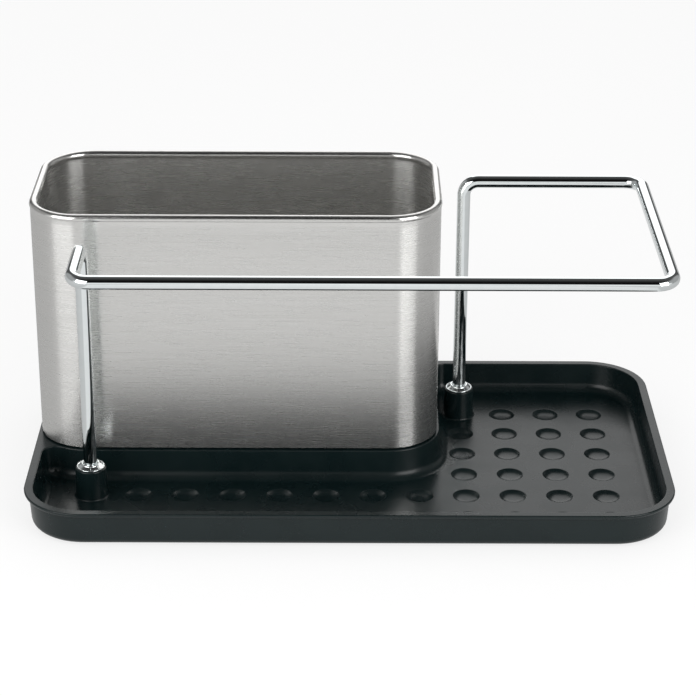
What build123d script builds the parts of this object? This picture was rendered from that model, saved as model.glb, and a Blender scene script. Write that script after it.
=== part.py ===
from build123d import *
import math
import os

# A kitchen sink caddy: a moulded drip tray on four rubber feet, with a raised stand that
# holds a brushed steel cup, and a bent wire rail for a dish cloth. The rail's two legs
# plug into bosses on the tray's floor, and a collar on each leg covers its socket.
# Lengths are millimetres. The origin is under the middle of the tray's outline, on the
# surface that the feet stand on. +X runs along the tray, +Y to its back and +Z up.

# Tray: laid out round the cup, and as high as from its underside to the top of its lip
basin_length = 93.3  # from the cup's right side to the tray's right edge
basin_depth = 56.8  # from the cup's front to the tray's front edge
tray_height = 15.0
tray_corner_radius = 25.0
lip_overhang = 1.7
lip_thickness = 2.0
lip_bevel_share = 0.35  # of the lip's thickness, above and below
wall_thickness = 1.9
floor_thickness = 2.4
mould_draft = 1.0  # how far the tray's sides lean in from the lip to the base
base_edge_radius = 3.0
floor_edge_radius = 2.5
basin_corner_extra = 0.5  # left of the basin's tight corners down at the floor
basin_edge_bevel = 0.6
round_steps = 2  # flats in each quarter round of the tray's edges

# Stand under the cup, cored out from below into a grid of ribs
stand_margin = 1.1  # how far the stand's top edge lies outside the cup
stand_roof = 2.0
core_rib = 1.4
core_columns = 7
core_rows = 4

# Seat: low pads on the stand that reach up inside the cup's lower edge
seat_height = 2.6
seat_clearance = 0.6
seat_edge_bevel = 0.5
groove_count = 3
groove_width = 10.0

# Dimples: a regular grid over the tray's floor, in line with both bosses
dimple_diameter = 11.0
dimple_depth = 1.4
dimple_slope = 2.2  # how far the dish's side runs in as it goes down
dimple_sides = 12
columns_between_bosses = 8
rows_between_bosses = 4

# Bosses that receive the rail's legs
left_boss_inset = 25.0  # from the tray's left edge
left_boss_gap = 15.3  # from the stand's front
right_boss_gap = 9.9  # from the stand's right side
right_boss_inset = 29.2  # from the tray's back edge
boss_height = 13.0  # above the tray's floor
boss_top_diameter = 12.4
boss_base_diameter = 13.0
boss_foot_flare = 0.6
socket_depth = 11.0
socket_clearance = 0.08
leg_end_gap = 0.5

# Rubber feet, each in a shallow recess
foot_diameter = 11.0
foot_recess = 0.8
foot_stand_out = 0.8
foot_fit = 0.1
foot_side_inset = 12.8  # from the tray's long sides
foot_end_inset = 34.6  # from its short ends
foot_surround = 2.0  # plastic left around a foot that lies under the stand

# Cup: a sleeve of sheet steel with its top edge rolled inward, and a pressed base
cup_length = 165.7
cup_width = 79.0
cup_height = 102.0
cup_corner_radius = 21.0
cup_side_inset = 1.0  # from the tray's left edge
cup_back_inset = 9.8
cup_sheet = 0.8
hem_gap = 0.7  # between the sleeve's lower edge and the stand
bead_diameter = 3.4
bead_proud = 0.3
bead_steps = 5  # flats along the roll, each an eighth of a turn
base_sheet = 0.7
base_fit = 0.05
base_flange_height = 8.0
pan_bevel = 3.0
drain_diameter = 6.0

# Cloth rail: one bent wire, whose loop reaches over the tray's front and right
wire_diameter = 5.5
rail_height = 108.6  # from the tray's floor to the wire's middle
rail_front_inset = 4.8
rail_right_inset = 8.5
leg_bend_radius = 6.0
loop_corner_radius = 7.0
bend_steps = 3  # straight lengths in each bend

# Collars brazed on the legs
collar_diameter = 11.3
collar_thickness = 1.0
collar_ring_diameter = 8.0
collar_ring_height = 0.9
collar_fit = 0.03

# Levels, outlines and places that follow from the sizes above
tray_length = cup_side_inset + cup_length + basin_length
tray_width = cup_back_inset + cup_width + basin_depth
tray_base = foot_stand_out
tray_floor = tray_base + floor_thickness
lip_top = tray_base + tray_height
basin_inset = lip_overhang + wall_thickness
basin_corner_radius = floor_edge_radius + mould_draft + basin_corner_extra
core_inset = lip_overhang + mould_draft + base_edge_radius + wall_thickness
cup_x = cup_side_inset + cup_length / 2 - tray_length / 2
cup_y = tray_width / 2 - cup_back_inset - cup_width / 2
cup_hem = lip_top + hem_gap
floor_inset = basin_inset + mould_draft + floor_edge_radius
seat_top = lip_top + seat_height
seat_inset = cup_sheet + seat_clearance
stand_right = cup_x + cup_length / 2 + stand_margin
stand_front = cup_y - cup_width / 2 - stand_margin
boss_top = tray_floor + boss_height
wire_level = tray_floor + rail_height
rail_front = rail_front_inset - tray_width / 2
rail_right = tray_length / 2 - rail_right_inset
left_boss = (left_boss_inset - tray_length / 2, stand_front - left_boss_gap)
right_boss = (stand_right + right_boss_gap, tray_width / 2 - right_boss_inset)
column_pitch = (right_boss[0] - left_boss[0]) / columns_between_bosses
row_pitch = (right_boss[1] - left_boss[1]) / rows_between_bosses
foot_x = tray_length / 2 - foot_end_inset
foot_y = tray_width / 2 - foot_side_inset
foot_places = {
    "foot_front_left": (-foot_x, -foot_y),
    "foot_front_right": (foot_x, -foot_y),
    "foot_back_left": (-foot_x, foot_y),
    "foot_back_right": (foot_x, foot_y),
}


def spread(middle, length, count):
    """Evenly spaced places that divide a length about its middle."""
    step = length / (count + 1)
    return [middle - length / 2 + step * (number + 1) for number in range(count)]


def marched(start, pitch, limit):
    """Places one pitch apart in both directions from one of them, within a limit."""
    first = math.ceil((-limit - start) / pitch)
    last = math.floor((limit - start) / pitch)
    return [start + pitch * step for step in range(first, last + 1)]


groove_places = spread(cup_x, cup_length - 2 * seat_inset, groove_count)


def tray_outline(inset, level):
    """The tray's rounded outline at one level, drawn in from the lip's edge."""
    return Pos(0, 0, level) * RectangleRounded(
        tray_length - 2 * inset, tray_width - 2 * inset, tray_corner_radius - inset)


def cup_outline(inset, level):
    """The cup's rounded outline at one level, drawn in from its outer face."""
    return Pos(cup_x, cup_y, level) * RectangleRounded(
        cup_length - 2 * inset, cup_width - 2 * inset, cup_corner_radius - inset)


def stand_outline(inset, level):
    """The stand in plan: it follows the cup in front and runs on past the tray's back."""
    length = cup_length + 2 * (stand_margin - inset)
    back = Pos(cup_x, cup_y + tray_width / 2, level) * Rectangle(length, tray_width)
    return cup_outline(inset - stand_margin, level) + back


def disc(place, diameter, level, height):
    """An upright cylinder that starts at one level."""
    return extrude(Pos(*place, level) * Circle(diameter / 2), amount=height)


def turned(profile):
    """A round solid from its half section, given as pairs of radius and level."""
    points = [(radius, 0, level) for radius, level in profile]
    return revolve(make_face(Polyline(*points, close=True)), Axis.Z)


def lean(level):
    """How far the mould's draft has drawn the tray's sides in at one level."""
    return mould_draft * (lip_top - level) / tray_height


def quarter_round(radius):
    """Inset and rise of each line of a quarter round, from its foot to its side."""
    turns = [math.pi / 2 * step / round_steps for step in range(round_steps + 1)]
    return [(radius * (1 - math.sin(turn)), radius * (1 - math.cos(turn))) for turn in turns]


def tray_blank():
    """The tray's drafted outside and flat lip, before anything is hollowed out."""
    lip_base = lip_top - lip_thickness
    bevel = lip_thickness * lip_bevel_share
    layers = [tray_outline(lip_overhang + lean(tray_base + rise) + inset, tray_base + rise)
              for inset, rise in quarter_round(base_edge_radius)]
    layers.append(tray_outline(lip_overhang + lean(lip_base + bevel), lip_base + bevel))
    lip = [tray_outline(bevel, lip_base), tray_outline(0, lip_base + bevel),
           tray_outline(0, lip_top - bevel), tray_outline(bevel, lip_top)]
    return loft(layers, ruled=True) + loft(lip, ruled=True)


def basin_layer(inset, level):
    """The opening at one level: the tray's inside without the stand's corner."""
    opening = tray_outline(basin_inset + inset, level) - stand_outline(-inset, level)
    radius = cup_corner_radius + stand_margin + inset
    arc_x = cup_x - cup_length / 2 + cup_corner_radius
    arc_y = cup_y - cup_width / 2 + cup_corner_radius
    wall_x = basin_inset + inset - tray_length / 2
    left_end = (wall_x, arc_y - math.sqrt(radius ** 2 - (arc_x - wall_x) ** 2), level)
    back_end = (stand_right + inset, tray_width / 2 - basin_inset - inset, level)
    ends = [opening.vertices().sort_by_distance(end)[0] for end in (left_end, back_end)]
    return fillet(ends, basin_corner_radius - inset)


def basin():
    """The space inside the tray's walls and around the stand, rounded at the floor."""
    layers = [basin_layer(lean(tray_floor + rise) + inset, tray_floor + rise)
              for inset, rise in quarter_round(floor_edge_radius)]
    layers.append(basin_layer(lean(lip_top - basin_edge_bevel), lip_top - basin_edge_bevel))
    layers.append(basin_layer(-basin_edge_bevel, lip_top))
    return loft(layers, ruled=True)


def seat_pads():
    """Pads that carry the cup, parted by grooves that lead its drips out."""
    pads = extrude(cup_outline(seat_inset, lip_top), amount=seat_height)
    pads = chamfer(pads.edges().group_by(Axis.Z)[-1], seat_edge_bevel)
    for x in groove_places:
        pads -= Pos(x, cup_y, lip_top + seat_height / 2) * Box(groove_width, cup_width, seat_height)
    return pads


def boss(place):
    """A boss that tapers a little and flares where it meets the floor."""
    root = tray_base + floor_thickness / 2
    foot = boss_base_diameter / 2
    top = boss_top_diameter / 2
    return Pos(*place, 0) * turned([
        (0, root), (foot + boss_foot_flare, root), (foot + boss_foot_flare, tray_floor),
        (foot, tray_floor + boss_foot_flare), (top, boss_top), (0, boss_top)])


def dish():
    """The shallow dish of one dimple, as a cutter whose slope starts at its own origin."""
    bottom = Pos(0, 0, -dimple_depth) * RegularPolygon(dimple_diameter / 2, dimple_sides)
    cutter = extrude(bottom, amount=2 * dimple_depth)
    base = cutter.faces().sort_by(Axis.Z)[0]
    return chamfer(base.edges(), dimple_slope, dimple_depth, reference=base)


def dimple_places():
    """The grid's places on the floor that neither the stand nor a boss takes up."""
    reach = dimple_diameter / 2
    clear = reach + floor_edge_radius
    columns = marched(left_boss[0], column_pitch, tray_length / 2 - floor_inset - reach)
    rows = marched(left_boss[1], row_pitch, tray_width / 2 - floor_inset - reach)
    places = []
    for x in columns:
        for y in rows:
            at_stand = x < stand_right + clear and y > stand_front - clear
            near = min(math.dist((x, y), boss_place) for boss_place in (left_boss, right_boss))
            if not at_stand and near > dimple_diameter:
                places.append((x, y))
    return places


def stand_core():
    """The pockets under the stand, with ribs between them and a pad over the foot."""
    height = tray_height - stand_roof
    plan = stand_outline(wall_thickness, tray_base) & tray_outline(core_inset, tray_base)
    core = extrude(plan, amount=height)
    left = core_inset - tray_length / 2
    right = stand_right - wall_thickness
    front = stand_front + wall_thickness
    back = tray_width / 2 - core_inset
    middle = ((left + right) / 2, (front + back) / 2)
    level = tray_base + height / 2
    for x in spread(middle[0], right - left, core_columns - 1):
        core -= Pos(x, middle[1], level) * Box(core_rib, tray_width, height)
    for y in spread(middle[1], back - front, core_rows - 1):
        core -= Pos(middle[0], y, level) * Box(tray_length, core_rib, height)
    pad = disc(foot_places["foot_back_left"], foot_diameter + 2 * foot_surround, tray_base, height)
    return core - pad


def drip_tray():
    """The moulded tray with its stand, seat, bosses and dimples, as one piece."""
    tray = tray_blank() - basin() + seat_pads()
    tray += [boss(left_boss), boss(right_boss)]
    pressed = dish()
    tray -= [Pos(*place, tray_floor) * pressed for place in dimple_places()]
    socket = wire_diameter + 2 * socket_clearance
    tray -= [disc(place, socket, boss_top, -socket_depth) for place in (left_boss, right_boss)]
    recess = foot_diameter + 2 * foot_fit
    tray -= [disc(place, recess, tray_base, foot_recess) for place in foot_places.values()]
    return tray - stand_core()


def rubber_foot(place):
    """A round pad that fills its recess and stands out below the tray."""
    return disc(place, foot_diameter, 0, foot_stand_out + foot_recess)


def sleeve_section():
    """The sleeve's section at its front, from the hem up to the inward roll."""
    bead = bead_diameter / 2
    flat = math.pi / 8
    rolls = []
    for reach in (bead, bead - cup_sheet):
        turns = [math.pi - flat * (2 * step + 1) for step in range(-1, bead_steps)]
        rolls.append([(bead - bead_proud + reach * math.cos(turn) / math.cos(flat),
                       cup_height - bead + reach * math.sin(turn) / math.cos(flat))
                      for turn in turns])
    outer, inner = rolls
    outline = [(0, 0), (0, outer[0][1]), *outer, *reversed(inner), (cup_sheet, inner[0][1]),
               (cup_sheet, 0)]
    place = Plane((cup_x, cup_y - cup_width / 2, cup_hem), x_dir=(0, 1, 0), z_dir=(1, 0, 0))
    return place * make_face(Polyline(*outline, close=True))


def cup_wall():
    """The seam-welded sleeve with its rolled rim, as its section swept round the cup."""
    return sweep(sleeve_section(), path=cup_outline(0, cup_hem).wire())


def pan(inset, bevel, level):
    """A solid with a bevelled lower edge that fills the sleeve up from one level."""
    layers = [cup_outline(inset + bevel, level), cup_outline(inset, level + bevel),
              cup_outline(inset, seat_top + base_flange_height)]
    return loft(layers, ruled=True)


def cup_base():
    """The pressed base: a shallow pan inside the sleeve, with drain holes."""
    inset = cup_sheet + base_fit
    base = pan(inset, pan_bevel + base_sheet, seat_top)
    base -= pan(inset + base_sheet, pan_bevel, seat_top + base_sheet)
    return base - [disc((x, cup_y), drain_diameter, seat_top, base_sheet) for x in groove_places]


def bend(before, corner, after, radius):
    """Points round a square bend of the wire, from its start to its end."""
    along = (Vector(corner) - Vector(before)).normalized()
    away = (Vector(after) - Vector(corner)).normalized()
    turns = [math.pi / 2 * step / bend_steps for step in range(bend_steps + 1)]
    return [Vector(corner) - along * radius * (1 - math.sin(turn)) +
            away * radius * (1 - math.cos(turn)) for turn in turns]


def cloth_rail():
    """One wire bent from leg to leg: forward, right, back, left and down again."""
    leg_end = boss_top - socket_depth + leg_end_gap
    route = [(*left_boss, leg_end), (*left_boss, wire_level),
             (left_boss[0], rail_front, wire_level), (rail_right, rail_front, wire_level),
             (rail_right, right_boss[1], wire_level), (*right_boss, wire_level),
             (*right_boss, leg_end)]
    radii = [leg_bend_radius] + 3 * [loop_corner_radius] + [leg_bend_radius]
    points = [Vector(route[0])]
    for number, radius in enumerate(radii):
        points += bend(*route[number:number + 3], radius)
    points.append(Vector(route[-1]))
    start = Plane(origin=route[0], z_dir=(0, 0, 1))
    return sweep(start * Circle(wire_diameter / 2), path=Polyline(*points),
                 transition=Transition.RIGHT)


def collar(place):
    """A stepped washer that covers the socket's mouth around the leg."""
    flange = disc(place, collar_diameter, boss_top, collar_thickness)
    height = collar_thickness + collar_ring_height
    ring = disc(place, collar_ring_diameter, boss_top, height)
    return flange + ring - disc(place, wire_diameter + 2 * collar_fit, boss_top, height)


os.makedirs("parts", exist_ok=True)
nodes = {
    "drip_tray": drip_tray(),
    "cup_wall": cup_wall(),
    "cup_base": cup_base(),
    "cloth_rail": cloth_rail(),
    "collar_left": collar(left_boss),
    "collar_right": collar(right_boss),
}
for name, place in foot_places.items():
    nodes[name] = rubber_foot(place)
for name, solid in nodes.items():
    solid.label = name
    export_step(solid, f"parts/{name}.step")
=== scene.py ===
import math

import bmesh
import bpy
from mathutils import Matrix, Vector


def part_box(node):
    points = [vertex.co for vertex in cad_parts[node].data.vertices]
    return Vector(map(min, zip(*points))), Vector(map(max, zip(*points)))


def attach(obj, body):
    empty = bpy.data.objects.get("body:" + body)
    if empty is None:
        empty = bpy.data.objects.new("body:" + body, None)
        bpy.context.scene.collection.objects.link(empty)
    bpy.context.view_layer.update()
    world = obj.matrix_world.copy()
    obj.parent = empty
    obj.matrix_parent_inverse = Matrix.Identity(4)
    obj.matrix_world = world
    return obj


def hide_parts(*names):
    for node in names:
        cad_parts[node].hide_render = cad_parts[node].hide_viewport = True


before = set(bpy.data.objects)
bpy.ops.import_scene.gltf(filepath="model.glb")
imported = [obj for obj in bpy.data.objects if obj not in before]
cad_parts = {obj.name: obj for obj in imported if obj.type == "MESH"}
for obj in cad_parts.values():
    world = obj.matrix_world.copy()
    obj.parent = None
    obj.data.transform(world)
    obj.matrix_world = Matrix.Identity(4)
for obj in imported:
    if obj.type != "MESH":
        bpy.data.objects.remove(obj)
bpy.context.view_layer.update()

# A kitchen sink caddy: a black moulded drip tray on rubber feet, a brushed steel cup on the
# tray's stand, and a chrome wire rail with a collar on each leg. Lengths are metres, and
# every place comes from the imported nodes' boxes or from the named sizes below.

MM = 0.001

# Drip tray
tray_corner = 25 * MM
lip_overhang = 1.7 * MM
lip_thickness = 2.0 * MM
lip_round = 0.45 * MM
lip_under_round = 1.4 * MM
wall_thickness = 1.9 * MM
floor_thickness = 2.4 * MM
mould_draft = 1.0 * MM
base_round = 3.0 * MM
floor_round = 3.9 * MM
basin_corner = 5.2 * MM
edge_round = 0.45 * MM
stand_margin = 1.1 * MM
stand_roof = 2.0 * MM
rib = 1.4 * MM
rib_columns = 7
rib_rows = 4
cut_overrun = 2.0 * MM

# Seat pads inside the cup's lower edge
seat_height = 2.6 * MM
seat_clearance = 0.6 * MM
seat_round = 0.5 * MM
groove_count = 3
groove_width = 10 * MM

# Dimples in the tray's floor
dish_radius = 5.5 * MM
dish_steepest = math.radians(39)
dish_flatness = 2.2
dish_lip_run = 0.5 * MM
dish_lip_slope = math.radians(6)
dish_margin = 2.5 * MM
columns_between_bosses = 8
rows_between_bosses = 4

# Bosses, their sockets, and the feet's recesses
boss_top_radius = 6.2 * MM
boss_base_radius = 6.5 * MM
boss_foot_round = 0.8 * MM
boss_edge_round = 0.5 * MM
socket_depth = 11 * MM
socket_clearance = 0.08 * MM
leg_end_gap = 0.5 * MM
foot_fit = 0.1 * MM
foot_surround = 2.0 * MM
foot_recess = 0.8 * MM
foot_round = 0.4 * MM

# Cup
cup_corner = 21 * MM
cup_sheet = 0.8 * MM
bead_radius = 1.7 * MM
bead_proud = 0.3 * MM
bead_end = math.radians(-70)
bead_steps = 26
pan_sheet = 0.7 * MM
pan_round = 3.0 * MM
pan_fit = 0.05 * MM
drain_radius = 3.0 * MM

# Rail and collars
wire_radius = 2.75 * MM
leg_bend = 6.0 * MM
loop_corner = 7.0 * MM
wire_end_round = 0.5 * MM
collar_cone_height = 1.4 * MM
collar_ring_radius = 4.0 * MM
collar_fit = 0.03 * MM
collar_ridge = 0.25 * MM
collar_ridge_level = 0.3 * MM
collar_ridge_turn = 150
collar_edge_round = 0.2 * MM

# Mesh fineness
corner_steps = 14
round_steps = 6
dish_steps = 14
turn_steps = 48
wire_sides = 32
bend_steps = 12
smooth_angle = math.radians(32)
least_edge = MM / 1000

# Materials: limits that noise runs between, noise as its scale per metre along each axis, its
# detail and its roughness, and relief as its strength and height
noise_limits = 0.3, 0.7
plastic_colours = Vector((0.0025, 0.007, 0.0075)), Vector((0.0035, 0.009, 0.0095))
plastic_roughness = 0.24, 0.32
plastic_specular = 0.38
plastic_cloud = (60, 60, 60), 3, 0.5
plastic_grain = (2600, 2600, 2600), 2, 0.5
plastic_relief = 0.06, 0.05 * MM
steel_colours = Vector((0.74, 0.735, 0.715)), Vector((0.78, 0.775, 0.76))
steel_roughness = 0.245, 0.285
steel_streaks = (90, 90, 1500), 4, 0.6
steel_patches = (16, 16, 1800), 3, 0.6
steel_relief = 0.03, 0.1 * MM
brush_anisotropy = 0.9
brush_rotation = 0.25
rim_polish = 0.8
chrome_colours = Vector((0.84, 0.885, 0.89)), Vector((0.88, 0.915, 0.92))
chrome_roughness = 0.02, 0.04
chrome_haze = (300, 300, 300), 3, 0.5
chrome_ripple = (25, 25, 25), 1, 0.5
chrome_relief = 0.05, 0.1 * MM
rubber_colours = Vector((0.022, 0.022, 0.022)), Vector((0.042, 0.042, 0.042))
rubber_roughness = 0.7, 0.9
rubber_grain = (1500, 1500, 1500), 3, 0.5
rubber_relief = 0.3, 0.05 * MM
paper_colour = (0.95, 0.95, 0.95)
paper_roughness = 0.9

# Camera
eye = Vector((-0.0024, -0.850, 0.438))
pitch_down = math.radians(24.28)
yaw_right = math.radians(0.11)
roll = math.radians(0.25)
focal_length = 117.1
sensor_width = 36

# Floor. A glow is the share of its own light that it shows to the camera, or in a mirror, and
# a level of 1 is white.
floor_reach = 6.0
floor_glow = 0.75
mirror_glow = 0.6
mirror_levels = 0.6, 0.25
mirror_level_run = 30 * MM

# World. The studio shows only in mirrors, and its limits are parts of a direction of length 1.
plain_level = 0.76
backdrop_level = 1.4
backdrop_slope = 0.58
backdrop_top = -0.1, 0.15
backdrop_side = 0.27, 0.34
front_level = 1.0
front_top = 0.1, 0.38
front_end = -0.4, 0
roof_levels = 0.004, 0.08
roof_run = -0.8, 0.3
flank_level = 0.35
flank_start = 0.5, 0.7
flank_top = 0.5, 0.8
flank_top_share = 0.1

# Lamps, with the place and width of each
lamp_target = Vector((0, 0, 0.1))
softbox_height = 0.95
softbox_power = 10
softboxes = {"left_softbox": ((-0.85, -0.95, 0.5), 1.1),
             "right_softbox": ((0.88, -0.96, 0.45), 0.85)}

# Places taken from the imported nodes
tray_low, tray_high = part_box("drip_tray")
cup_low, cup_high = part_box("cup_wall")
pan_low, pan_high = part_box("cup_base")
rail_low, rail_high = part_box("cloth_rail")
tray_base = tray_low.z
tray_floor = tray_base + floor_thickness
lip_top = tray_high.z - seat_height
half_length = tray_high.x
half_width = tray_high.y
cup_left = cup_low.x + bead_proud
cup_right = cup_high.x - bead_proud
cup_front = cup_low.y + bead_proud
cup_back = cup_high.y - bead_proud
stand_right = cup_right + stand_margin
stand_front = cup_front - stand_margin
basin_inset = lip_overhang + wall_thickness
seat_inset = cup_sheet + seat_clearance
wire_level = rail_high.z - wire_radius
rail_front = rail_low.y + wire_radius
rail_right = rail_high.x - wire_radius
boss_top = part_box("collar_left")[0].z
foot_names = ("foot_front_left", "foot_front_right", "foot_back_left", "foot_back_right")


def middle_of(node):
    """The middle of a node's box."""
    low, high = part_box(node)
    return (low + high) / 2


left_boss = middle_of("collar_left")
right_boss = middle_of("collar_right")


def spread(low, high, count):
    """Evenly spaced places that divide a stretch."""
    step = (high - low) / (count + 1)
    return [low + step * (number + 1) for number in range(count)]


groove_places = spread(cup_left + seat_inset, cup_right - seat_inset, groove_count)


def arc(centre, radius, start, end, steps=corner_steps):
    """Points on an arc, from one angle in degrees to another."""
    turns = [math.radians(start + (end - start) * step / steps) for step in range(steps + 1)]
    return [(centre[0] + radius * math.cos(turn), centre[1] + radius * math.sin(turn))
            for turn in turns]


def rounded(left, right, front, back, radius):
    """A rounded rectangle's outline, from its front left corner on."""
    return (arc((left + radius, front + radius), radius, 180, 270)
            + arc((right - radius, front + radius), radius, 270, 360)
            + arc((right - radius, back - radius), radius, 0, 90)
            + arc((left + radius, back - radius), radius, 90, 180))


def square(left, right, front, back):
    """A rectangle's outline."""
    return [(left, front), (right, front), (right, back), (left, back)]


def tray_outline(inset):
    """The tray's outline, drawn in from the lip's edge."""
    return rounded(inset - half_length, half_length - inset, inset - half_width,
                   half_width - inset, tray_corner - inset)


def cup_outline(inset):
    """The cup's outline, drawn in from its outer face."""
    return rounded(cup_left + inset, cup_right - inset, cup_front + inset, cup_back - inset,
                   cup_corner - inset)


def basin_outline(inset):
    """The open basin's outline: inside the walls and round the stand, as parallel arcs."""
    reach_x = half_length - tray_corner
    reach_y = half_width - tray_corner
    wide = tray_corner - basin_inset - inset
    tight = basin_corner - inset
    stand_radius = cup_corner + stand_margin + inset
    arc_left = cup_left + cup_corner
    arc_right = cup_right - cup_corner
    arc_y = cup_front + cup_corner
    pocket_x = basin_inset - half_length + basin_corner
    apart = cup_corner + stand_margin + basin_corner
    pocket_y = arc_y - math.sqrt(apart ** 2 - (arc_left - pocket_x) ** 2)
    meet = math.degrees(math.atan2(arc_y - pocket_y, arc_left - pocket_x))
    end_centre = (stand_right + basin_corner, half_width - basin_inset - basin_corner)
    return (arc((reach_x, reach_y), wide, 90, 0)
            + arc((reach_x, -reach_y), wide, 0, -90)
            + arc((-reach_x, -reach_y), wide, -90, -180)
            + arc((pocket_x, pocket_y), tight, 180, meet)
            + arc((arc_left, arc_y), stand_radius, meet + 180, 270)
            + arc((arc_right, arc_y), stand_radius, -90, 0)
            + arc(end_centre, tight, 180, 90))


def left_of(outline, start, end):
    """The part of a convex outline that lies left of a line."""
    def side(point):
        return ((end[0] - start[0]) * (point[1] - start[1])
                - (end[1] - start[1]) * (point[0] - start[0]))
    result = []
    for number, point in enumerate(outline):
        before = outline[number - 1]
        here, there = side(point), side(before)
        if (here >= 0) != (there >= 0):
            share = there / (there - here)
            result.append(tuple(a + (b - a) * share for a, b in zip(before, point)))
        if here >= 0:
            result.append(point)
    return result


def common(outline, other):
    """What two convex outlines share."""
    for start, end in zip(other, other[1:] + other[:1]):
        outline = left_of(outline, start, end)
    return [point for number, point in enumerate(outline)
            if math.dist(point, outline[number - 1]) > least_edge]


def quarter(radius, steps=round_steps):
    """Inset and rise of points on a quarter round, from its foot to its side."""
    turns = [math.pi / 2 * step / steps for step in range(steps + 1)]
    return [(radius * (1 - math.sin(turn)), radius * (1 - math.cos(turn))) for turn in turns]


def turned_back(radius):
    """The same quarter round, from its side to its foot."""
    return reversed(quarter(radius))


def lean(level):
    """How far the mould's draft has drawn the sides in at one level."""
    return mould_draft * (lip_top - level) / (lip_top - tray_base)


def bridge(mesh_data, lower, upper):
    """A band of faces between two rings, either of which may be a single point."""
    count = max(len(lower), len(upper))
    for number in range(count):
        after = (number + 1) % count
        if len(lower) == 1:
            mesh_data.faces.new((lower[0], upper[after], upper[number]))
        elif len(upper) == 1:
            mesh_data.faces.new((lower[number], lower[after], upper[0]))
        else:
            mesh_data.faces.new((lower[number], lower[after], upper[after], upper[number]))


def add_rings(mesh_data, outlines, closed):
    """A solid through rings of points: closed like a tube's, or else with both ends capped."""
    rings = [[mesh_data.verts.new(point) for point in outline] for outline in outlines]
    for lower, upper in zip(rings, rings[1:]):
        bridge(mesh_data, lower, upper)
    if closed:
        bridge(mesh_data, rings[-1], rings[0])
    else:
        for ring in (rings[0], rings[-1]):
            if len(ring) > 1:
                mesh_data.faces.new(ring)


def add_stack(mesh_data, layers, closed=False):
    """A solid through layers, each an outline and its level."""
    add_rings(mesh_data, [[(x, y, level) for x, y in outline] for outline, level in layers], closed)


def add_lathe(mesh_data, centre, profile, closed=False):
    """A solid turned about an upright axis, from pairs of radius and level."""
    outlines = []
    for radius, level in profile:
        circle = arc(centre, radius, 0, 360, turn_steps)[:-1] if radius > 0 else [tuple(centre)]
        outlines.append([(x, y, level) for x, y in circle])
    add_rings(mesh_data, outlines, closed)


def new_piece(name, mesh_data):
    """A bmesh as an object in the scene."""
    bmesh.ops.recalc_face_normals(mesh_data, faces=mesh_data.faces)
    mesh = bpy.data.meshes.new(name)
    mesh_data.to_mesh(mesh)
    mesh_data.free()
    piece = bpy.data.objects.new(name, mesh)
    bpy.context.scene.collection.objects.link(piece)
    return piece


def combine(piece, mesh_data, operation):
    """Join solids to a piece, or cut them out of it."""
    tool = new_piece("tool", mesh_data)
    modifier = piece.modifiers.new("combine", "BOOLEAN")
    modifier.operation = operation
    modifier.solver = "EXACT"
    modifier.object = tool
    graph = bpy.context.evaluated_depsgraph_get()
    result = bpy.data.meshes.new_from_object(piece.evaluated_get(graph))
    piece.modifiers.clear()
    piece.data = result
    bpy.data.objects.remove(tool)


def smooth(piece):
    """Smooth rounds, sharp corners, and flat faces that stay flat in the reflections."""
    piece.data.shade_smooth()
    piece.data.set_sharp_from_angle(angle=smooth_angle)
    weighted = piece.modifiers.new("weighted", "WEIGHTED_NORMAL")
    weighted.keep_sharp = True


def dress(piece, material, body, node):
    """Finish a piece, ride it on its body, and let it stand for its node."""
    smooth(piece)
    piece.data.materials.clear()
    piece.data.materials.append(material)
    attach(piece, body)
    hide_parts(node)


def add_blank(mesh_data):
    """The tray's outside, up its rounded base and drafted wall and round the lip."""
    lip_base = lip_top - lip_thickness
    layers = [(tray_outline(lip_overhang + lean(tray_base + rise) + inset), tray_base + rise)
              for inset, rise in quarter(base_round)]
    layers.append((tray_outline(lip_overhang + lean(lip_base)), lip_base))
    layers += [(tray_outline(inset), lip_base + rise) for inset, rise in quarter(lip_under_round)]
    layers += [(tray_outline(inset), lip_top - rise) for inset, rise in turned_back(lip_round)]
    add_stack(mesh_data, layers)


def add_basin(mesh_data):
    """The space that the basin takes out, with rounds at the floor and at the top edge."""
    layers = [(basin_outline(lean(tray_floor + rise) + inset), tray_floor + rise)
              for inset, rise in quarter(floor_round)]
    layers += [(basin_outline(-inset), lip_top - rise) for inset, rise in turned_back(edge_round)]
    layers.append((basin_outline(-edge_round), lip_top + cut_overrun))
    add_stack(mesh_data, layers)


def add_core(mesh_data):
    """The pockets under the stand, with ribs left between them."""
    inset = lip_overhang + mould_draft + base_round + wall_thickness
    left = inset - half_length
    right = stand_right - wall_thickness
    front = stand_front + wall_thickness
    back = half_width - inset
    plan = rounded(cup_left - stand_margin + wall_thickness, right, front, half_width * 2,
                   cup_corner + stand_margin - wall_thickness)
    plan = common(tray_outline(inset), plan)
    columns = [left - rib / 2] + spread(left, right, rib_columns - 1) + [right + rib / 2]
    rows = [front - rib / 2] + spread(front, back, rib_rows - 1) + [back + rib / 2]
    for cell_left, cell_right in zip(columns, columns[1:]):
        for cell_front, cell_back in zip(rows, rows[1:]):
            cell = common(plan, square(cell_left + rib / 2, cell_right - rib / 2,
                                       cell_front + rib / 2, cell_back - rib / 2))
            add_stack(mesh_data, [(cell, tray_base - cut_overrun), (cell, lip_top - stand_roof)])


def add_seat_pads(mesh_data):
    """Pads that carry the cup, parted by grooves that lead its drips out."""
    ends = [cup_left - groove_width / 2] + groove_places + [cup_right + groove_width / 2]
    for left, right in zip(ends, ends[1:]):
        strip = square(left + groove_width / 2, right - groove_width / 2, cup_front, cup_back)
        layers = [(common(cup_outline(seat_inset), strip), lip_top - stand_roof / 2)]
        layers += [(common(cup_outline(seat_inset + inset), strip), lip_top + seat_height - rise)
                   for inset, rise in turned_back(seat_round)]
        add_stack(mesh_data, layers)


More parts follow.
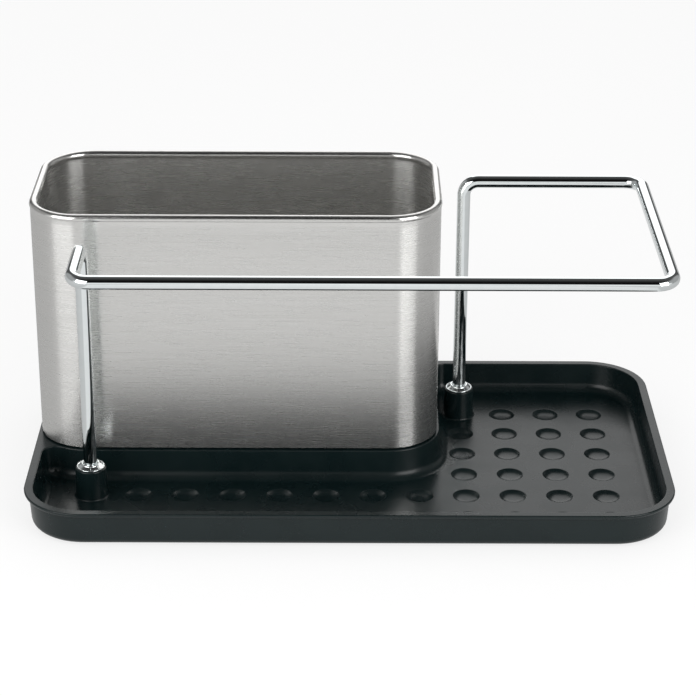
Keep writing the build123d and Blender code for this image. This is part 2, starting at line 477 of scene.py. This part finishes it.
def boss_profile():
    """Half section of a boss, from the middle of its root to the middle of its top."""
    root = tray_base + floor_thickness / 2
    profile = [(0, root), (boss_base_radius + boss_foot_round, root)]
    profile += [(boss_base_radius + inset, tray_floor + rise)
                for inset, rise in quarter(boss_foot_round)]
    profile += [(boss_top_radius - inset, boss_top - rise)
                for inset, rise in turned_back(boss_edge_round)]
    return profile + [(0, boss_top)]


def cylinder(radius, low, high):
    """Half section of a plain cylinder."""
    return [(0, low), (radius, low), (radius, high), (0, high)]


def dish_profile():
    """Half section of a dimple's cutter: flat in the middle, steep at its side, easing out."""
    bowl_run = (dish_radius - dish_lip_run / 2) / dish_steps
    runs = [(bowl_run, dish_steepest * ((step + 0.5) / dish_steps) ** dish_flatness)
            for step in range(dish_steps)]
    easing = (dish_lip_slope - dish_steepest) / round_steps
    runs += [(dish_lip_run / round_steps, dish_steepest + easing * (step + 1))
             for step in range(round_steps)]
    radius = rise = 0
    profile = [(radius, rise)]
    for run, slope in runs:
        radius += run
        rise += run * math.tan(slope)
        profile.append((radius, rise))
    profile = [(across, tray_floor + up - rise) for across, up in profile]
    outside = radius + dish_lip_run
    overshoot = tray_floor + dish_lip_run * math.tan(dish_lip_slope)
    return profile + [(outside, overshoot), (0, overshoot)]


def grid_line(start, pitch, limit):
    """Places one pitch apart both ways from one of them, within a limit."""
    first = math.ceil((-limit - start) / pitch)
    last = math.floor((limit - start) / pitch)
    return [start + pitch * step for step in range(first, last + 1)]


def dimple_places():
    """The grid's places on the floor that neither the stand nor a boss takes up."""
    margin = basin_inset + mould_draft + dish_margin + dish_radius
    clear = dish_radius + dish_margin
    pitch_x = (right_boss.x - left_boss.x) / columns_between_bosses
    pitch_y = (right_boss.y - left_boss.y) / rows_between_bosses
    places = []
    for x in grid_line(left_boss.x, pitch_x, half_length - margin):
        for y in grid_line(left_boss.y, pitch_y, half_width - margin):
            at_stand = x < stand_right + clear and y > stand_front - clear
            near = min((Vector((x, y)) - boss.xy).length for boss in (left_boss, right_boss))
            if not at_stand and near > 2 * dish_radius:
                places.append((x, y))
    return places


def drip_tray():
    """The moulded tray with its stand, seat, bosses and dimples."""
    blank = bmesh.new()
    add_blank(blank)
    tray = new_piece("tray_moulding", blank)
    hollows = bmesh.new()
    add_basin(hollows)
    add_core(hollows)
    combine(tray, hollows, "DIFFERENCE")
    foot_radius = foot_diameter() / 2
    additions = bmesh.new()
    add_seat_pads(additions)
    for boss in (left_boss, right_boss):
        add_lathe(additions, boss.xy, boss_profile())
    add_lathe(additions, middle_of("foot_back_left").xy,
              cylinder(foot_radius + foot_surround, tray_base, lip_top - stand_roof / 2))
    combine(tray, additions, "UNION")
    cuts = bmesh.new()
    for place in dimple_places():
        add_lathe(cuts, place, dish_profile())
    for boss in (left_boss, right_boss):
        add_lathe(cuts, boss.xy, cylinder(wire_radius + socket_clearance, boss_top - socket_depth,
                                          boss_top + cut_overrun))
    for name in foot_names:
        add_lathe(cuts, middle_of(name).xy, cylinder(foot_radius + foot_fit,
                                                     tray_base - cut_overrun,
                                                     tray_base + foot_recess))
    combine(tray, cuts, "DIFFERENCE")
    return tray


def foot_diameter():
    """A foot's diameter, from its node."""
    low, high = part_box(foot_names[0])
    return high.x - low.x


def rubber_foot(node):
    """A round pad with softened edges."""
    low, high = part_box(node)
    radius = foot_diameter() / 2
    profile = [(0, low.z)] + [(radius - inset, low.z + rise) for inset, rise in quarter(foot_round)]
    profile += [(radius, high.z), (0, high.z)]
    pad = bmesh.new()
    add_lathe(pad, middle_of(node).xy, profile)
    return new_piece(node + "_pad", pad)


def cup_wall():
    """The sleeve and its rim, rolled inward round a hollow bead."""
    centre = bead_radius - bead_proud
    level = cup_high.z - bead_radius
    outer_start = math.pi + math.acos(centre / bead_radius)
    inner_radius = bead_radius - cup_sheet
    inner_start = math.pi + math.acos((centre - cup_sheet) / inner_radius)
    profile = [(0, cup_low.z)]
    for reach, start in ((bead_radius, outer_start), (inner_radius, inner_start)):
        turns = [start + (bead_end - start) * step / bead_steps for step in range(bead_steps + 1)]
        roll_points = [(centre + reach * math.cos(turn), level + reach * math.sin(turn))
                       for turn in turns]
        profile += roll_points if reach == bead_radius else reversed(roll_points)
    profile.append((cup_sheet, cup_low.z))
    sleeve = bmesh.new()
    add_stack(sleeve, [(cup_outline(inset), height) for inset, height in profile], closed=True)
    return new_piece("steel_sleeve", sleeve)


def cup_base():
    """The pressed base: a shallow pan with rounded edges and drain holes."""
    inset = cup_sheet + pan_fit
    inner = inset + pan_sheet
    layers = [(cup_outline(inset + run), pan_low.z + rise)
              for run, rise in quarter(pan_round + pan_sheet)]
    layers += [(cup_outline(inset), pan_high.z), (cup_outline(inner), pan_high.z)]
    layers += [(cup_outline(inner + run), pan_low.z + pan_sheet + rise)
               for run, rise in turned_back(pan_round)]
    pan = bmesh.new()
    add_stack(pan, layers)
    base = new_piece("pressed_base", pan)
    drains = bmesh.new()
    middle_y = (cup_front + cup_back) / 2
    for x in groove_places:
        add_lathe(drains, (x, middle_y), cylinder(drain_radius, pan_low.z - cut_overrun,
                                                  pan_low.z + cut_overrun))
    combine(base, drains, "DIFFERENCE")
    return base


def bend(before, corner, after, radius):
    """Points round a square bend of the wire, from its start to its end."""
    along = (corner - before).normalized()
    away = (after - corner).normalized()
    turns = [math.pi / 2 * step / bend_steps for step in range(bend_steps + 1)]
    return [corner - along * radius * (1 - math.sin(turn)) + away * radius * (1 - math.cos(turn))
            for turn in turns]


def rail_route():
    """The wire's middle line with its radius at each point, from leg end to leg end."""
    leg_end = boss_top - socket_depth + leg_end_gap
    corners = [Vector((left_boss.x, left_boss.y, leg_end)),
               Vector((left_boss.x, left_boss.y, wire_level)),
               Vector((left_boss.x, rail_front, wire_level)),
               Vector((rail_right, rail_front, wire_level)),
               Vector((rail_right, right_boss.y, wire_level)),
               Vector((right_boss.x, right_boss.y, wire_level)),
               Vector((right_boss.x, right_boss.y, leg_end))]
    tips = [[(end + Vector((0, 0, rise)), wire_radius - inset)
             for inset, rise in quarter(wire_end_round)] for end in (corners[0], corners[-1])]
    route = tips[0]
    for number, radius in enumerate([leg_bend] + 3 * [loop_corner] + [leg_bend]):
        route += [(point, wire_radius) for point in bend(*corners[number:number + 3], radius)]
    return route + tips[1][::-1]


def cloth_rail():
    """One bent wire, as rings carried along its route without twisting."""
    route = rail_route()
    side = Vector((1, 0, 0))
    outlines = []
    for number, (point, radius) in enumerate(route):
        before = route[max(number - 1, 0)][0]
        after = route[min(number + 1, len(route) - 1)][0]
        along = (after - before).normalized()
        side = (side - along * side.dot(along)).normalized()
        across = along.cross(side)
        turns = [2 * math.pi * step / wire_sides for step in range(wire_sides)]
        outlines.append([point + side * radius * math.cos(turn) + across * radius * math.sin(turn)
                         for turn in turns])
    wire = bmesh.new()
    add_rings(wire, outlines, closed=False)
    return new_piece("bent_wire", wire)


def collar(node):
    """A cone-shaped washer with a round ridge at its edge and a rounded ring at the leg."""
    low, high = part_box(node)
    flange = (high.x - low.x) / 2
    bore = wire_radius + collar_fit
    ring_round = (collar_ring_radius - bore) / 2
    profile = [(bore, low.z)]
    profile += [(flange - inset, low.z + rise) for inset, rise in quarter(collar_edge_round)]
    profile += arc((flange - collar_ridge, low.z + collar_ridge_level), collar_ridge, 0,
                   collar_ridge_turn)
    profile.append((collar_ring_radius, low.z + collar_cone_height))
    profile += arc((bore + ring_round, high.z - ring_round), ring_round, 0, 180)
    washer = bmesh.new()
    add_lathe(washer, middle_of(node).xy, profile, closed=True)
    return new_piece(node + "_washer", washer)


def halfway(low, high):
    """The middle of two numbers or two colours."""
    return (low + high) / 2


def new_material(name, base_color, metallic, roughness):
    """A material with its shader's plain values set on its own sockets."""
    material = bpy.data.materials.new(name)
    material.use_nodes = True
    shader = material.node_tree.nodes["Principled BSDF"]
    shader.inputs["Base Color"].default_value = (*base_color, 1)
    shader.inputs["Metallic"].default_value = metallic
    shader.inputs["Roughness"].default_value = roughness
    return material, shader


def add_split(tree, source):
    """The X, Y and Z of a texture coordinate: a place on the piece, or a direction."""
    coordinate = tree.nodes.new("ShaderNodeTexCoord")
    split = tree.nodes.new("ShaderNodeSeparateXYZ")
    tree.links.new(coordinate.outputs[source], split.inputs["Vector"])
    return [split.outputs[axis] for axis in "XYZ"]


def add_math(tree, operation, first, second=0):
    """One sum of two values, the second of which may be a plain number."""
    node = tree.nodes.new("ShaderNodeMath")
    node.operation = operation
    tree.links.new(first, node.inputs[0])
    if isinstance(second, (int, float)):
        node.inputs[1].default_value = second
    else:
        tree.links.new(second, node.inputs[1])
    return node.outputs["Value"]


def add_product(tree, first, second):
    """One value times another."""
    return add_math(tree, "MULTIPLY", first, second)


def add_greatest(tree, first, *others):
    """The greatest of several values."""
    for other in others:
        first = add_math(tree, "MAXIMUM", first, other)
    return first


def add_change(tree, value, limits, results, course):
    """A change from one result to another as a value passes between two limits."""
    change = tree.nodes.new("ShaderNodeMapRange")
    change.interpolation_type = course
    for name, number in zip(("From Min", "From Max", "To Min", "To Max"), (*limits, *results)):
        change.inputs[name].default_value = number
    tree.links.new(value, change.inputs["Value"])
    return change.outputs["Result"]


def add_step(tree, value, limits, results):
    """A change with a smooth start and end."""
    return add_change(tree, value, limits, results, "SMOOTHSTEP")


def add_spread(tree, noise, results):
    """Noise spread over a range."""
    return add_change(tree, noise, noise_limits, results, "LINEAR")


def add_noise(tree, scale, detail, roughness):
    """Noise in the piece's own coordinates."""
    place = tree.nodes.new("ShaderNodeTexCoord")
    stretch = tree.nodes.new("ShaderNodeMapping")
    stretch.inputs["Scale"].default_value = scale
    noise = tree.nodes.new("ShaderNodeTexNoise")
    noise.inputs["Scale"].default_value = 1
    noise.inputs["Detail"].default_value = detail
    noise.inputs["Roughness"].default_value = roughness
    tree.links.new(place.outputs["Object"], stretch.inputs["Vector"])
    tree.links.new(stretch.outputs["Vector"], noise.inputs["Vector"])
    return noise.outputs["Fac"]


def add_colours(tree, noise, colours):
    """Two colours mixed by noise."""
    ramp = tree.nodes.new("ShaderNodeValToRGB")
    for element, position, colour in zip(ramp.color_ramp.elements, noise_limits, colours):
        element.position = position
        element.color = (*colour, 1)
    tree.links.new(noise, ramp.inputs["Fac"])
    return ramp.outputs["Color"]


def add_bump(tree, shader, height, strength, distance):
    """Relief on the shader's normal."""
    bump = tree.nodes.new("ShaderNodeBump")
    bump.inputs["Strength"].default_value = strength
    bump.inputs["Distance"].default_value = distance
    tree.links.new(height, bump.inputs["Height"])
    tree.links.new(bump.outputs["Normal"], shader.inputs["Normal"])


def black_plastic():
    """Moulded black plastic, satin, with a fine grain and a faint unevenness."""
    material, shader = new_material("black_plastic", halfway(*plastic_colours), 0,
                                    halfway(*plastic_roughness))
    tree = material.node_tree
    shader.inputs["Specular IOR Level"].default_value = plastic_specular
    cloud = add_noise(tree, *plastic_cloud)
    tree.links.new(add_colours(tree, cloud, plastic_colours), shader.inputs["Base Color"])
    tree.links.new(add_spread(tree, cloud, plastic_roughness), shader.inputs["Roughness"])
    add_bump(tree, shader, add_noise(tree, *plastic_grain), *plastic_relief)
    return material


def brushed_steel():
    """Stainless steel brushed level round the cup, with a smoother rim."""
    material, shader = new_material("brushed_cup", halfway(*steel_colours), 1,
                                    halfway(*steel_roughness))
    tree = material.node_tree
    streaks = add_noise(tree, *steel_streaks)
    patches = add_noise(tree, *steel_patches)
    tree.links.new(add_colours(tree, patches, steel_colours), shader.inputs["Base Color"])
    height = add_split(tree, "Object")[2]
    rim_level = cup_high.z - 2 * bead_radius
    polish = add_step(tree, height, (rim_level - bead_radius, rim_level), (1, rim_polish))
    roughness = add_product(tree, polish, add_spread(tree, streaks, steel_roughness))
    tree.links.new(roughness, shader.inputs["Roughness"])
    tangent = tree.nodes.new("ShaderNodeTangent")
    tangent.direction_type = "RADIAL"
    tangent.axis = "Z"
    tree.links.new(tangent.outputs["Tangent"], shader.inputs["Tangent"])
    shader.inputs["Anisotropic"].default_value = brush_anisotropy
    shader.inputs["Anisotropic Rotation"].default_value = brush_rotation
    add_bump(tree, shader, streaks, *steel_relief)
    return material


def chrome():
    """Polished chrome plate with the slightest haze and waviness of drawn wire."""
    material, shader = new_material("chrome_wire", halfway(*chrome_colours), 1,
                                    halfway(*chrome_roughness))
    tree = material.node_tree
    haze = add_noise(tree, *chrome_haze)
    tree.links.new(add_colours(tree, haze, chrome_colours), shader.inputs["Base Color"])
    tree.links.new(add_spread(tree, haze, chrome_roughness), shader.inputs["Roughness"])
    add_bump(tree, shader, add_noise(tree, *chrome_ripple), *chrome_relief)
    return material


def rubber():
    """Matt black rubber with a fine grain."""
    material, shader = new_material("foot_rubber", halfway(*rubber_colours), 0,
                                    halfway(*rubber_roughness))
    tree = material.node_tree
    grain = add_noise(tree, *rubber_grain)
    tree.links.new(add_colours(tree, grain, rubber_colours), shader.inputs["Base Color"])
    tree.links.new(add_spread(tree, grain, rubber_roughness), shader.inputs["Roughness"])
    add_bump(tree, shader, grain, *rubber_relief)
    return material


def floor_paper():
    """White paper that keeps a pale shadow, and looks dimmer in mirrors, most of all aside."""
    material, shader = new_material("floor_paper", paper_colour, 0, paper_roughness)
    tree = material.node_tree
    path = tree.nodes.new("ShaderNodeLightPath")
    seen = path.outputs["Is Camera Ray"]
    mirrored = add_greatest(tree, path.outputs["Is Glossy Ray"],
                            path.outputs["Is Transmission Ray"])
    share = add_greatest(tree, add_product(tree, seen, floor_glow),
                         add_product(tree, mirrored, mirror_glow))
    aside = add_math(tree, "ABSOLUTE", add_split(tree, "Object")[0])
    level = add_step(tree, aside, (half_length, half_length + mirror_level_run), mirror_levels)
    strength = add_greatest(tree, seen, add_product(tree, mirrored, level))
    glow = tree.nodes.new("ShaderNodeEmission")
    glow.inputs["Color"].default_value = (1, 1, 1, 1)
    tree.links.new(strength, glow.inputs["Strength"])
    mix = tree.nodes.new("ShaderNodeMixShader")
    tree.links.new(share, mix.inputs["Fac"])
    tree.links.new(shader.outputs["BSDF"], mix.inputs[1])
    tree.links.new(glow.outputs["Emission"], mix.inputs[2])
    tree.links.new(mix.outputs["Shader"], tree.nodes["Material Output"].inputs["Surface"])
    return material


def stage_floor():
    """A wide white floor with rounded corners."""
    ground = bmesh.new()
    outline = rounded(-floor_reach, floor_reach, -floor_reach, floor_reach, floor_reach / 2)
    ground.faces.new([ground.verts.new((x, y, 0)) for x, y in outline])
    floor = new_piece("stage_floor", ground)
    floor.data.materials.append(floor_paper())


def studio_pattern(tree):
    """What mirrors see: a bright panel behind, a band in front, dim flanks and a dark roof."""
    side, back, up = add_split(tree, "Generated")
    aside = add_math(tree, "ABSOLUTE", side)
    slope = add_math(tree, "SUBTRACT", back, add_product(tree, up, backdrop_slope))
    backdrop = add_product(tree, add_step(tree, slope, backdrop_top, (0, backdrop_level)),
                           add_step(tree, aside, backdrop_side, (1, 0)))
    front = add_product(tree, add_step(tree, up, front_top, (front_level, 0)),
                        add_step(tree, back, front_end, (1, 0)))
    roof = add_step(tree, back, roof_run, roof_levels)
    flank = add_product(tree, add_step(tree, aside, flank_start, (0, flank_level)),
                        add_step(tree, up, flank_top, (1, flank_top_share)))
    return add_greatest(tree, backdrop, front, roof, flank)


def world_light():
    """A plain light all round, white to the camera and a studio to anything that mirrors it."""
    world = bpy.data.worlds.new("studio")
    bpy.context.scene.world = world
    world.use_nodes = True
    tree = world.node_tree
    path = tree.nodes.new("ShaderNodeLightPath")
    plain = add_step(tree, path.outputs["Is Camera Ray"], (0, 1), (plain_level, 1))
    mixed = tree.nodes.new("ShaderNodeMix")
    tree.links.new(path.outputs["Is Glossy Ray"], mixed.inputs[0])
    tree.links.new(plain, mixed.inputs[2])
    tree.links.new(studio_pattern(tree), mixed.inputs[3])
    background = tree.nodes["Background"]
    background.inputs["Color"].default_value = (1, 1, 1, 1)
    tree.links.new(mixed.outputs[0], background.inputs["Strength"])


def studio_lamps():
    """A soft rectangular lamp at each side in front, facing the object."""
    for name, (place, width) in softboxes.items():
        data = bpy.data.lights.new(name, "AREA")
        data.shape = "RECTANGLE"
        data.size = width
        data.size_y = softbox_height
        data.energy = softbox_power
        lamp = bpy.data.objects.new(name, data)
        lamp.location = place
        facing = lamp_target - Vector(place)
        lamp.rotation_euler = facing.to_track_quat("-Z", "Y").to_euler()
        bpy.context.scene.collection.objects.link(lamp)


def set_camera():
    """The photograph's view: level left to right but for a slight roll, and tipped down."""
    forward = Vector((math.sin(yaw_right) * math.cos(pitch_down),
                      math.cos(yaw_right) * math.cos(pitch_down), -math.sin(pitch_down)))
    right = Vector((math.cos(yaw_right), -math.sin(yaw_right), 0))
    up = right.cross(forward)
    rolled_right = right * math.cos(roll) + up * math.sin(roll)
    rolled_up = up * math.cos(roll) - right * math.sin(roll)
    data = bpy.data.cameras.new("camera")
    data.lens = focal_length
    data.sensor_width = sensor_width
    camera = bpy.data.objects.new("camera", data)
    turn = Matrix((rolled_right, rolled_up, -forward)).transposed().to_4x4()
    camera.matrix_world = Matrix.Translation(eye) @ turn
    bpy.context.scene.collection.objects.link(camera)
    bpy.context.scene.camera = camera


bpy.context.scene.view_settings.view_transform = "Standard"
world_light()
studio_lamps()
stage_floor()
set_camera()

plastic = black_plastic()
steel = brushed_steel()
plate = chrome()
foot_material = rubber()
dress(drip_tray(), plastic, "tray", "drip_tray")
dress(cup_wall(), steel, "cup", "cup_wall")
dress(cup_base(), steel, "cup", "cup_base")
dress(cloth_rail(), plate, "rail", "cloth_rail")
for name in ("collar_left", "collar_right"):
    dress(collar(name), plate, "rail", name)
for name in foot_names:
    dress(rubber_foot(name), foot_material, "tray", name)
